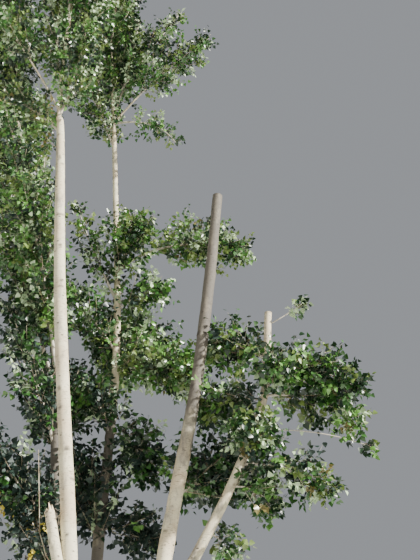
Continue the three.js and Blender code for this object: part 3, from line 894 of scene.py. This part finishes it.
class Tubes:
    """Many thin tubes, collected batch by batch and made into one piece at the end."""

    def __init__(self):
        self.points = []
        self.faces = []
        self.count = 0

    def add(self, paths, radii, sides):
        """paths holds the points of each tube, and radii its radius at each point."""
        number, rings = paths.shape[:2]
        along = unit(np.gradient(paths, axis=1))
        helper = np.where(np.abs(along[..., 2:3]) > STEEP, EAST, UP)
        side = unit(np.cross(along, helper))
        other = np.cross(along, side)
        ring = turned(side[:, :, None], other[:, :, None], np.arange(sides) / sides * FULL_TURN)
        points = paths[:, :, None] + ring * radii[:, :, None, None]
        corner = np.arange(sides)
        following = (corner + 1) % sides
        faces = []
        for level in range(rings - 1):
            low, high = level * sides, (level + 1) * sides
            faces.append(np.stack([low + corner, low + following, high + following], axis=1))
            faces.append(np.stack([low + corner, high + following, high + corner], axis=1))
        fan = np.arange(1, sides - 1)
        top = (rings - 1) * sides
        faces.append(np.stack([np.zeros_like(fan), fan + 1, fan], axis=1))
        faces.append(np.stack([np.full_like(fan, top), top + fan, top + fan + 1], axis=1))
        one = np.concatenate(faces)
        shift = self.count + np.arange(number)[:, None, None] * rings * sides
        self.points.append(points.reshape(-1, 3))
        self.faces.append((one[None] + shift).reshape(-1, 3))
        self.count += number * rings * sides

    def make(self, name):
        return mesh_piece(name, np.concatenate(self.points), np.concatenate(self.faces))


# Growth: each mass grows by the source's rule, carried to finer twigs, and gives sprays
def leaf_scale(points):
    """Leaves high up are smaller, and their sprays stand closer."""
    return 1 - SMALLER_HIGH * smooth_between(*SMALLER_HEIGHTS, points[..., 2])


def grow_twigs(mass, random, twigs):
    """Adds the twigs of a mass, and returns their paths, directions, rises and reaches."""
    spacing = min(max(TWIG_SPACING * USUAL_GIRTH / mass.girth, CLOSEST_TWIGS), WIDEST_TWIGS)
    count = int(round((mass.length * (1 - mass.bare) + mass.girth) / spacing))
    part = (np.arange(count) + random.uniform(*TWIG_JITTER, count)) / count
    feet, along = mass.place(mass.bare + (1 - mass.bare) * part)
    radius = mass.girth * fullness_at(part, mass.slimness)
    turn = random.uniform(0, FULL_TURN) + math.radians(GOLDEN_ANGLE) * np.arange(count)
    lean = np.radians(TWIG_LEAN * (1 - TIP_LEAN_LOSS * part) + random.uniform(*TWIG_LEAN_SPREAD, count))
    reach = radius / np.sin(lean) - SPRAY_BEYOND * SPRAY_LENGTH[0]
    reach = np.maximum(reach * random.uniform(*TWIG_REACH_SPREAD, count), LEAST_TWIG)
    direction = leaning(along, mass.across, turn, lean)
    rise = UP * random.uniform(*TWIG_RISE, count)[:, None]
    ends = mass.depth(feet + (direction + rise) * reach[:, None])
    reach = reach / np.maximum(ends / TWIG_EDGE, 1)
    run = np.linspace(0, 1, TWIG_POINTS)
    bent = direction[:, None] * run[:, None] + rise[:, None] * run[:, None] ** 2
    paths = feet[:, None] + bent * reach[:, None, None]
    thick = TWIG_START * np.clip(reach / USUAL_REACH, *TWIG_THICKNESS_RANGE)
    twigs.add(paths, thick[:, None] + (TWIG_END - thick[:, None]) * run, TWIG_SIDES)
    return paths, direction, rise, reach


def grow_mass(mass, stems, twigs):
    """Adds the stem and twigs of a mass, and returns its sprays: root, direction and length of each."""
    random = np.random.default_rng(mass.seed)
    shares = np.linspace(mass.bare if mass.has_bough else 0, 1, STEM_POINTS)
    stems.add(mass.place(shares)[0][None], mass.radius_at(shares)[None], STEM_SIDES)

    run = np.linspace(0, 1, TWIG_POINTS)
    roots, headings = [], []
    for path, direction, rise, reach in zip(*grow_twigs(mass, random, twigs)):
        number = max(1, int(round(reach / (SPRAY_SPACING * leaf_scale(path[0])))))
        place = (np.arange(number) + SPRAY_OFFSET) / number
        tangent = unit(direction + 2 * rise * place[:, None])
        turn = random.uniform(0, FULL_TURN) + math.radians(GOLDEN_ANGLE) * np.arange(number)
        lean = np.radians(random.uniform(*SPRAY_LEAN, number))
        heading = leaning(tangent, mass.across, turn, lean)
        heading[-1] = tangent[-1]
        roots.append(np.stack([np.interp(place, run, path[:, axis]) for axis in range(3)], axis=1))
        headings.append(heading)

    tip_leans = np.radians(TIP_SPRAY_LEANS)
    tip_roots, tip_along = mass.place(1 - np.linspace(0, TIP_SPRAY_SHARE, len(tip_leans)))
    tip_turns = np.arange(len(tip_leans)) * SPIRAL_STEP
    roots = np.concatenate([*roots, tip_roots])
    headings = np.concatenate([*headings, leaning(tip_along, mass.across, tip_turns, tip_leans)])
    headings = unit(headings + UP * SPRAY_LIFT)
    lengths = random.uniform(*SPRAY_LENGTH, len(roots)) * min(1, THIN_SPRAYS + mass.girth / FULL_SPRAYS)
    kept = mass.depth(roots + headings * SPRAY_HOLD * lengths[:, None]) < SPACE_EDGE
    return roots[kept], headings[kept], lengths[kept]


def leaf_pattern():
    """The points of one leaf, as places across, along and above its midrib."""
    right = [(x, y, LEAF_FOLD * x - LEAF_DROOP * y * y) for x, y in LEAF_HALF]
    left = [(-x, y, z) for x, y, z in right]
    foot, tip = (0, LEAF_START, 0), (0, 1, -LEAF_DROOP)
    return np.array([foot, *right, tip, *left], float)


def grow_leaves(sprays, tints, random):
    """The leaves of all sprays: the root and frame of each, its size, and its spray's tint."""
    roots, headings, lengths = sprays
    shape = (len(roots), LEAVES_PER_SPRAY)
    place = (np.arange(LEAVES_PER_SPRAY) + LEAF_OFFSET) / LEAVES_PER_SPRAY
    place = np.clip(place + random.uniform(-LEAF_JITTER, LEAF_JITTER, shape), FIRST_LEAF, 1)
    place[:, -1] = 1
    foot = roots[:, None] + headings[:, None] * (place * lengths[:, None])[..., None]
    side, other = across(headings, NEARLY_UP)
    spin = random.uniform(0, FULL_TURN, shape[0])[:, None] + np.arange(LEAVES_PER_SPRAY) * SPIRAL_STEP
    spin = spin + random.uniform(-SPIN_JITTER, SPIN_JITTER, shape)
    outward = turned(side[:, None], other[:, None], spin)
    lean = np.radians(random.uniform(*STALK_LEAN, shape))
    lean[:, -1] = np.radians(END_STALK_LEAN)
    stalk = unit(turned(headings[:, None], outward, lean))
    size = random.uniform(*LEAF_LENGTH, shape) * (1 - END_LEAF_LOSS * place) * leaf_scale(roots)[:, None]
    petiole = PETIOLE_SHARE * size * random.uniform(*PETIOLE_SPREAD, shape)
    base = foot + stalk * petiole[..., None]
    hanging = stalk * BLADE_FOLLOWS - UP * BLADE_HANGS
    along = unit(hanging + random.normal(0, BLADE_STRAYS, stalk.shape))
    facing = UP * FACES_UP + outward * FACES_OUT + random.normal(0, FACE_STRAYS, stalk.shape)
    width, normal = across(along, np.cross(along, facing))
    tip = ((base + along * size[..., None]) * MM).reshape(-1, 3)
    low, high = (np.array(corner) for corner in cad_box)
    margin = (high - low) * OUTSIDE_SHARE
    inside = np.all((tip > low - margin) & (tip < high + margin), axis=1)
    vectors = [values.reshape(-1, 3)[inside] for values in (foot, base, along, width, normal)]
    return [*vectors, size.reshape(-1)[inside], np.repeat(tints, LEAVES_PER_SPRAY)[inside]]


def leaf_piece(name, foot, base, along, width, normal, size):
    """The leaves of one tint, each with its flat stalk, as one piece."""
    pattern = leaf_pattern()
    axes = np.stack([width, along, normal], axis=1)
    body = base[:, None] + size[:, None, None] * np.einsum("pa,laj->lpj", pattern, axes)
    half = width * PETIOLE_HALF_WIDTH
    stalk = np.stack([foot - half, foot + half, base + along * PETIOLE_END * size[:, None]], axis=1)
    points = np.concatenate([body, stalk], axis=1)
    first = len(pattern)
    one = np.array([*LEAF_FACES, (first, first + 1, first + 2)])
    triangles = one[None] + (np.arange(len(base)) * points.shape[1])[:, None, None]
    return mesh_piece(name, points.reshape(-1, 3), triangles.reshape(-1, 3))


# Materials
class Value:
    """A number's socket in a material. Python's operators on it add Math nodes."""

    def __init__(self, paint, socket):
        self.paint = paint
        self.socket = socket

    def __add__(self, other):
        return self.paint.math("ADD", self, other)

    def __mul__(self, other):
        return self.paint.math("MULTIPLY", self, other)

    def __sub__(self, other):
        return self.paint.math("SUBTRACT", self, other)

    def __rsub__(self, other):
        return self.paint.math("SUBTRACT", other, self)

    __radd__ = __add__
    __rmul__ = __mul__

    def between(self, low, high):
        """0 up to low, 1 from high on, and a smooth rise between."""
        inputs = {"Value": self, "From Min": low, "From Max": high}
        node = self.paint.node("ShaderNodeMapRange", {"interpolation_type": "SMOOTHSTEP"}, inputs)
        return Value(self.paint, node.outputs["Result"])


class Paint:
    """A material in the making, on its Principled shader."""

    def __init__(self, name, **plain):
        self.material = bpy.data.materials.new(name)
        self.material.use_nodes = True
        self.tree = self.material.node_tree
        self.shader = self.tree.nodes["Principled BSDF"]
        self.finish(**plain)

    def finish(self, **sockets):
        """Feeds the shader's sockets, each named with an underscore in the place of a space."""
        for key, value in sockets.items():
            self.feed(self.shader.inputs[key.replace("_", " ")], value)
        return self.material

    def feed(self, socket, value):
        if isinstance(value, Value):
            value = value.socket
        if isinstance(value, bpy.types.NodeSocket):
            self.tree.links.new(value, socket)
        elif isinstance(value, tuple) and len(value) == 3 and socket.type == "RGBA":
            socket.default_value = (*value, 1)
        else:
            socket.default_value = value

    def node(self, kind, settings, inputs):
        made = self.tree.nodes.new(kind)
        for key, value in settings.items():
            setattr(made, key, value)
        for key, value in inputs.items():
            self.feed(made.inputs[key], value)
        return made

    def math(self, operation, *values):
        made = self.node("ShaderNodeMath", {"operation": operation}, dict(enumerate(values)))
        return Value(self, made.outputs[0])

    def mark(self, name):
        """A number that each vertex of the piece holds."""
        return Value(self, self.node("ShaderNodeAttribute", {"attribute_name": name}, {}).outputs["Fac"])

    def place(self, scale=(1, 1, 1)):
        """Object coordinates, stretched by a scale."""
        coordinates = self.node("ShaderNodeTexCoord", {}, {}).outputs["Object"]
        return self.node("ShaderNodeMapping", {}, {"Vector": coordinates, "Scale": scale}).outputs[0]

    def height(self):
        """The height above the ground, in metres."""
        return Value(self, self.node("ShaderNodeSeparateXYZ", {}, {0: self.place()}).outputs[2])

    def noise(self, vector, scale, detail, roughness=0.5):
        inputs = {"Vector": vector, "Scale": scale, "Detail": detail, "Roughness": roughness}
        return Value(self, self.node("ShaderNodeTexNoise", {}, inputs).outputs[0])

    def spots(self, vector):
        """The distance from a scatter of points, one in each cell of space."""
        made = self.node("ShaderNodeTexVoronoi", {}, {"Vector": vector, "Scale": 1.0})
        return Value(self, made.outputs["Distance"])

    def mix(self, factor, first, second):
        made = self.node("ShaderNodeMix", {"data_type": "RGBA"}, {0: factor, 6: first, 7: second})
        return made.outputs[2]

    def layered(self, colour, layers):
        """A colour with others laid over it in turn, each with the share that it covers."""
        for cover, layer in layers:
            colour = self.mix(cover, colour, layer)
        return colour

    def bump(self, height, distance, strength):
        inputs = {"Height": height, "Distance": distance, "Strength": strength}
        self.finish(Normal=self.node("ShaderNodeBump", {}, inputs).outputs[0])


CREAM_BARK = (0.66, 0.61, 0.44)
WARM_BARK = (0.53, 0.43, 0.29)
GREY_BARK = (0.30, 0.28, 0.24)
# Painted shade: a near-black that stands in for shadow on the stems
PAINTED_SHADE_BARK = (0.088, 0.079, 0.067)
GREEN_BARK = (0.33, 0.36, 0.23)
OLD_BARK = (0.21, 0.18, 0.135)
OLD_BARK_HEIGHTS = (0.6, 2.7)
DARK_BARK = (0.045, 0.038, 0.030)
CUT_WOOD = (0.72, 0.60, 0.42)
HEART_WOOD = (0.46, 0.30, 0.17)
YOUNG_TWIG = (0.42, 0.39, 0.28)
BROWN_TWIG = (0.22, 0.17, 0.11)
FLOOR_TINTS = [(0.70, 0.69, 0.66), (0.76, 0.75, 0.72)]


def bark_paint():
    """Smooth cream bark with grey and green patches, painted shade on parts of the stems, dark scars, corky
    dashes, and cracks low down.
    """
    paint = Paint("bark", Specular_IOR_Level=0.3)
    place = paint.place()
    broad = paint.noise(place, 3.1, 4, 0.6)
    patches = paint.noise(paint.place((1, 1, 0.45)), 11, 4, 0.65)
    streaks = paint.noise(paint.place((20, 20, 2.2)), 1.5, 4, 0.6)
    dashes = paint.noise(paint.place((24, 24, 150)), 1.0, 2)
    grain = paint.noise(place, 120, 4, 0.65)
    spots = paint.spots(paint.place((8, 8, 15)))
    weathered = paint.mark("weathered")

    # Each layer's cover, from nowhere to its full strength, and its colour
    layers = [
        (broad.between(0.42, 0.62) * 0.7, WARM_BARK),
        (streaks.between(0.55, 0.75) * 0.6, GREEN_BARK),
        # The grey patches gather where the bark is greyed by weather, and the next layer is painted shade,
        # near black where the mark's shade is high
        ((patches + weathered * 0.3 - 0.05).between(0.5, 0.72) * 0.75, GREY_BARK),
        ((patches * 0.6 + weathered * 0.9 - 0.3).between(0.2, 0.75) * 0.9, PAINTED_SHADE_BARK),
        ((1 - paint.height().between(*OLD_BARK_HEIGHTS)) * 0.85, OLD_BARK),
        (dashes.between(0.60, 0.68) * 0.55, DARK_BARK),
        (grain.between(0.35, 0.7) * 0.14, DARK_BARK),
        ((1 - spots.between(0.07, 0.13)) * 0.85, DARK_BARK),
        (paint.mark("scar") * 0.9, DARK_BARK),
        (paint.mark("crack") * 0.8, DARK_BARK),
    ]
    relief = grain * 0.5 + dashes.between(0.6, 0.72) * 0.5 + patches * 0.5
    paint.bump(relief, 0.003, 0.8)
    return paint.finish(Base_Color=paint.layered(CREAM_BARK, layers), Roughness=0.62 + grain * 0.3)


def cut_paint():
    """Pale cut wood: growth rings round the pith, and darker heartwood."""
    paint = Paint("cut_wood", Specular_IOR_Level=0.25)
    pith = paint.mark("pith")
    grain = paint.noise(paint.place(), 60, 3)
    rings = paint.math("SINE", pith * 75 + grain * 4) * 0.5 + 0.5
    colour = paint.mix(pith.between(0.2, 0.6), HEART_WOOD, CUT_WOOD)
    paint.bump(rings * 0.4 + grain * 0.6, 0.0015, 0.6)
    return paint.finish(Base_Color=paint.mix(rings * 0.35, colour, HEART_WOOD), Roughness=0.75 + grain * 0.2)


def twig_paint():
    """Thin twigs, pale olive where they are young and browner elsewhere."""
    paint = Paint("twig_bark", Specular_IOR_Level=0.3)
    tone = paint.noise(paint.place(), 7, 2)
    fine = paint.noise(paint.place(), 140, 2)
    paint.bump(fine, 0.001, 0.5)
    colour = paint.mix(tone.between(0.4, 0.6), YOUNG_TWIG, BROWN_TWIG)
    return paint.finish(Base_Color=colour, Roughness=0.55 + fine * 0.25)


# Leaf tints, each with its base colour, roughness and gloss. The darkest tint, first, is painted shade: a
# near-black blue-green for leaves that stood in shadow. The pale tint is partly leaf undersides turned up
# and partly painted highlight.
TINTS = {
    # Painted shade: a near-black blue-green for leaves that stood in shadow
    "dusk": ((0.005, 0.021, 0.013), 0.60, 0.0),
    "deep": ((0.006, 0.026, 0.007), 0.40, 0.05),
    "green": ((0.027, 0.088, 0.016), 0.32, 0.2),
    "fresh": ((0.083, 0.202, 0.036), 0.34, 0.25),
    "olive": ((0.118, 0.180, 0.040), 0.36, 0.25),
    # Partly leaf undersides turned up, partly painted highlight
    "pale": ((0.360, 0.485, 0.285), 0.32, 0.3),
    "young": ((0.150, 0.130, 0.040), 0.36, 0.25),
    "yellow": ((0.620, 0.520, 0.070), 0.45, 0.1),
}

# The parts in which sprays take the tints, and the masses that don't have the usual mix. The darkest tint is
# painted shade, so the mixes rich in it paint shade on masses that stood in shadow, with a few yellow leaves
# on one of them; the mix rich in the pale tint paints highlights on masses that stood in sun.
USUAL_MIX = {"dusk": 4, "deep": 28, "green": 28, "fresh": 15, "olive": 12, "pale": 13}
# Painted shade for masses that stood in shadow
PAINTED_SHADE_MIX = {"dusk": 22, "deep": 42, "green": 22, "fresh": 6, "olive": 2, "pale": 6}
# Deeper painted shade for the darkest masses
DEEP_PAINTED_SHADE_MIX = {"dusk": 66, "deep": 22, "green": 7, "fresh": 1, "pale": 4}
OLIVE_MIX = {"deep": 22, "green": 22, "fresh": 18, "olive": 23, "pale": 13, "young": 2}
RIGHT_MIX = {"dusk": 7, "deep": 34, "green": 27, "fresh": 12, "olive": 11, "pale": 7, "young": 2}
# Painted highlight: more of the pale tint for masses that stood in sun
PAINTED_HIGHLIGHT_MIX = {"dusk": 5, "deep": 22, "green": 26, "fresh": 19, "olive": 10, "pale": 18}
# Painted shade, with a few yellowing leaves
PAINTED_SHADE_AND_YELLOWING_MIX = {"dusk": 60, "deep": 20, "green": 8, "fresh": 2, "pale": 5, "yellow": 5}
MIXED_MASSES = [
    (PAINTED_SHADE_AND_YELLOWING_MIX, ["left_low"]),
    (DEEP_PAINTED_SHADE_MIX, ["left_front", "low_left", "low_right"]),
    (PAINTED_SHADE_MIX, ["left_middle", "middle_inner", "middle_right_low", "back_left", "back_topped"]),
    (OLIVE_MIX, ["arch", "under_arch", "middle_right", "right_middle", "tall_outer_low"]),
    (PAINTED_HIGHLIGHT_MIX, ["left_outer", "left_inner", "left_upper", "left_front_top", "middle_left_top"]),
    (RIGHT_MIX, ["right_top", "right_low", "right_foot", "right_skirt", "front_middle", "front_top"]),
    (RIGHT_MIX, ["inner_middle", "inner_top", "middle_left"]),
]
MIX_OF_MASS = {name: mix for mix, names in MIXED_MASSES for name in names}


def leaf_paint(name):
    """Glossy leaves of one tint, with an uneven sheen."""
    colour, roughness, coat = TINTS[name]
    paint = Paint("leaf_" + name, Specular_IOR_Level=0.5, Coat_Roughness=0.3)
    sheen = paint.noise(paint.place(), 30, 1)
    uneven = roughness - LEAF_SHEEN / 2 + sheen * LEAF_SHEEN
    return paint.finish(Base_Color=colour, Roughness=uneven, Coat_Weight=coat)


def floor_paint():
    paint = Paint("floor", Roughness=0.9)
    tone = paint.noise(paint.place(), 0.6, 3)
    return paint.finish(Base_Color=paint.mix(tone, *FLOOR_TINTS))


# The stage: camera, light and floor
CAMERA_PLACE = (0.82, -8.9, 1.6)
CAMERA_PITCH = 32
LENS = 71
SENSOR = 36
SUN_PLACE = (0.86, -0.42, 0.62)
SUN_STRENGTH = 15.5
SUN_ANGLE = 3
SUN_COLOUR = (1, 0.965, 0.90)
SKY = (0.86, 0.90, 0.96)
SKY_STRENGTH = 0.36
FLOOR_SIZE = 400
FLOOR_DROP = 0.004


def make_stage():
    """A camera on the photograph's line of sight, one soft sun, pale surroundings and a pale floor."""
    lens = bpy.data.cameras.new("camera")
    lens.lens = LENS
    lens.sensor_width = SENSOR
    camera = add_object("camera", lens)
    camera.location = CAMERA_PLACE
    camera.rotation_euler = (math.radians(90 + CAMERA_PITCH), 0, 0)
    bpy.context.scene.camera = camera

    light = bpy.data.lights.new("sun", "SUN")
    light.energy = SUN_STRENGTH
    light.angle = math.radians(SUN_ANGLE)
    light.color = SUN_COLOUR
    east, north, up = SUN_PLACE
    tilt = math.acos(up / math.hypot(east, north, up))
    add_object("sun", light).rotation_euler = (tilt, 0, math.atan2(north, east) + math.pi / 2)

    world = bpy.data.worlds.new("surroundings")
    world.use_nodes = True
    background = world.node_tree.nodes["Background"]
    background.inputs["Color"].default_value = (*SKY, 1)
    background.inputs["Strength"].default_value = SKY_STRENGTH
    bpy.context.scene.world = world

    bpy.ops.object.select_all(action="DESELECT")
    bpy.ops.mesh.primitive_plane_add(size=FLOOR_SIZE, location=(0, 0, -FLOOR_DROP))
    floor = bpy.context.object
    floor.name = "floor"
    floor.data.materials.append(floor_paint())


# Assembly: each piece with its finish, on the frame
def place_piece(piece, materials, nodes):
    """Gives a piece its finish, and puts it on the frame in the place of its nodes."""
    for material in materials:
        piece.data.materials.append(material)
    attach(piece, "root")
    if nodes:
        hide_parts(*nodes)


def finish_ends(piece):
    """The faces of a sawn or broken end take the second material, and meet the bark at a sharp edge."""
    sawn = np.empty(len(piece.data.vertices), np.float32)
    piece.data.attributes["sawn"].data.foreach_get("value", sawn)
    for face in piece.data.polygons:
        if all(sawn[vertex] > 0.5 for vertex in face.vertices):
            face.material_index = 1
    choose(piece)
    bpy.ops.object.shade_smooth_by_angle(angle=math.radians(SHARP_ANGLE))


def make_bark():
    """Trunk, stems and boughs, each in the place of its own node."""
    finishes = [bark_paint(), cut_paint()]
    standing = {name: limb for name, limb in limbs.items() if name not in FORKED}
    partings = {name: limb.share_at_height(PARTING_HEIGHT) for name, limb in standing.items()}
    pieces = {"trunk": trunk_piece(partings)}
    for name, limb in limbs.items():
        start = partings[name] + GAP / limb.length if name in partings else 0
        finish = LIMB_ENDS.get(name, "plain")
        sides = STUB_SIDES if finish == "split" else LIMB_SIDES
        pieces[name] = dress_limb("bark_" + name, limb, start, 1, sides, finish, name)
    for mass in masses:
        if mass.has_bough:
            name = "bough_" + mass.name
            bough = Limb(mass.place, mass.radius_at)
            pieces[name] = dress_limb("bark_" + name, bough, 0, mass.bare, BOUGH_SIDES, "plain", mass.limb)
    for node, piece in pieces.items():
        place_piece(piece, finishes, [node])
        finish_ends(piece)


def add_bare_shoots(twigs):
    """The leafless shoots that show on the stub and on the tallest stem."""
    for name, height, radius, way in BARE_SHOOTS:
        limb = limbs[name]
        path = np.array([limb.place(limb.share_at_height(height))[0][0], *way])
        radii = np.linspace(radius, BARE_SHOOT_END * radius, len(path))
        twigs.add(path[None], radii[None], BARE_SHOOT_SIDES)


def spray_shoots(sprays):
    """The thin shoots of all sprays."""
    roots, headings, lengths = sprays
    run = np.linspace(0, 1, SPRAY_POINTS)
    paths = roots[:, None] + headings[:, None] * (run * lengths[:, None])[..., None]
    radii = np.broadcast_to(np.linspace(SPRAY_START, SPRAY_END, SPRAY_POINTS), paths.shape[:2])
    shoots = Tubes()
    shoots.add(paths, radii, SPRAY_SIDES)
    return shoots


def make_foliage():
    """Stems, twigs and leaves of all masses. Their stems wear the plain bark that the frame brings."""
    stems = Tubes()
    twigs = Tubes()
    add_bare_shoots(twigs)
    random = np.random.default_rng(FIRST_SEED)
    sprays, tints = [], []
    for mass in masses:
        grown = grow_mass(mass, stems, twigs)
        mix = MIX_OF_MASS.get(mass.name, USUAL_MIX)
        parts = np.array([mix.get(name, 0) for name in TINTS])
        sprays.append(grown)
        tints.append(random.choice(len(TINTS), len(grown[0]), p=parts / parts.sum()))
    sprays = [np.concatenate(column) for column in zip(*sprays)]
    wood = twig_paint()
    foliage_nodes = [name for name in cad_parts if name.startswith("foliage_")]
    place_piece(stems.make("mass_stems"), [bpy.data.materials["bark"]], foliage_nodes)
    place_piece(twigs.make("twigs"), [wood], [])
    place_piece(spray_shoots(sprays).make("shoots"), [wood], [])
    *leaves, leaf_tints = grow_leaves(sprays, np.concatenate(tints), random)
    for number, name in enumerate(TINTS):
        chosen = leaf_tints == number
        piece = leaf_piece("leaves_" + name, *(values[chosen] for values in leaves))
        place_piece(piece, [leaf_paint(name)], [])


make_stage()
make_bark()
make_foliage()
